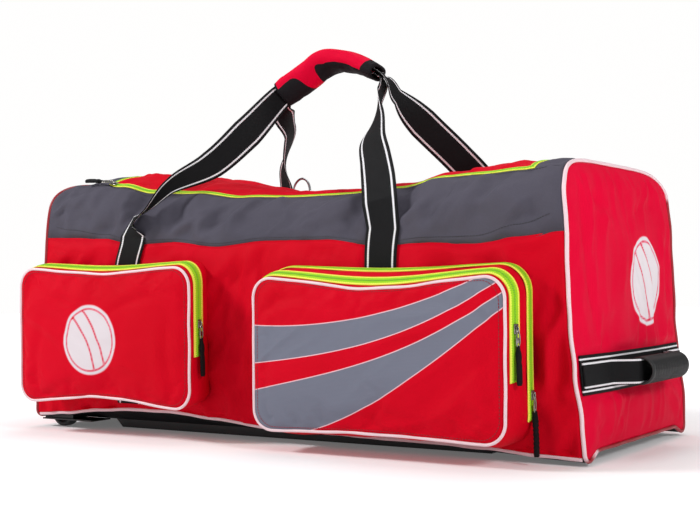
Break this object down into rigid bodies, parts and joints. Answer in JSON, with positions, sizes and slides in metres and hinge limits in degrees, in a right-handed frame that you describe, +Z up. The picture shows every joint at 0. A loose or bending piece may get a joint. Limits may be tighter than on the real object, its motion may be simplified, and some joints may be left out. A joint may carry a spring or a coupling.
{
  "type": "wheeled kit bag",
  "caption": "Long soft zipped kit bag with front pockets, a flat back pocket, webbing carrying handles, an end grip, wheels and skids.",
  "frame": {"origin": "on the floor under the middle of the whole bag", "axes": "+X towards the end with the rubber grip, -Y the side with the two pockets, +Z up"},
  "size_m": [0.9904, 0.504, 0.5915],
  "materials": {
    "base_cloth": "matt coated weave",
    "end_cloth": "matt coated weave",
    "grey_cloth": "matt weave",
    "metal": "polished",
    "piping": "satin",
    "plastic": "matt",
    "red_cloth": "matt coated weave",
    "rubber": "matt",
    "webbing": "ribbed weave",
    "zip_tape": "matt"
  },
  "bodies": {
    "bag": {"front_panel": "red_cloth", "back_panel": "red_cloth", "shoulder_front": "grey_cloth", "shoulder_rear": "grey_cloth", "lid_panel": "red_cloth", "top_strip_right": "grey_cloth", "top_strip_left": "grey_cloth", "lid_zip_tape": "zip_tape", "base_panel": "base_cloth", "end_panel_right": "end_cloth", "end_piping_right": "piping", "end_panel_left": "end_cloth", "end_piping_left": "piping", "base_piping_front": "piping", "base_piping_rear": "piping", "pocket_left_face": "red_cloth", "pocket_left_gusset": "red_cloth", "pocket_left_piping": "piping", "pocket_right_face": "red_cloth", "pocket_right_gusset": "red_cloth", "pocket_right_piping": "piping", "back_pocket_face": "red_cloth", "back_pocket_gusset": "red_cloth", "back_pocket_piping": "piping", "pocket_left_zip_tape": "zip_tape", "pocket_right_zip_front": "zip_tape", "pocket_right_zip_rear": "zip_tape", "back_pocket_zip_tape": "zip_tape", "strap_front": "webbing", "strap_rear": "webbing", "grip_wrap": "red_cloth", "d_ring": "metal", "ring_loop": "webbing", "end_handle_base": "webbing", "end_handle_strap": "webbing", "end_handle_grip": "rubber", "axle_front": "metal", "housing_front": "plastic", "axle_rear": "metal", "housing_rear": "plastic", "skid_front": "plastic", "skid_rear": "plastic", "pocket_left_slider": "metal", "pocket_left_pull": "webbing", "pocket_right_front_slider": "metal", "pocket_right_front_pull": "webbing", "pocket_right_rear_slider": "metal", "pocket_right_rear_pull": "webbing", "back_pocket_slider": "metal", "back_pocket_pull": "webbing", "lid_zip_slider": "metal", "lid_zip_pull": "webbing"},
    "wheel_front": {"wheel_front": "rubber"},
    "wheel_rear": {"wheel_rear": "rubber"}
  },
  "joints": [
    {"name": "wheel_front_spin", "type": "hinge", "parent": "bag", "child": "wheel_front", "pos_m": [-0.45611, -0.137, 0.024], "axis": [0, 1, 0], "continuous": true},
    {"name": "wheel_rear_spin", "type": "hinge", "parent": "bag", "child": "wheel_rear", "pos_m": [-0.45611, 0.195, 0.024], "axis": [0, 1, 0], "continuous": true}
  ]
}
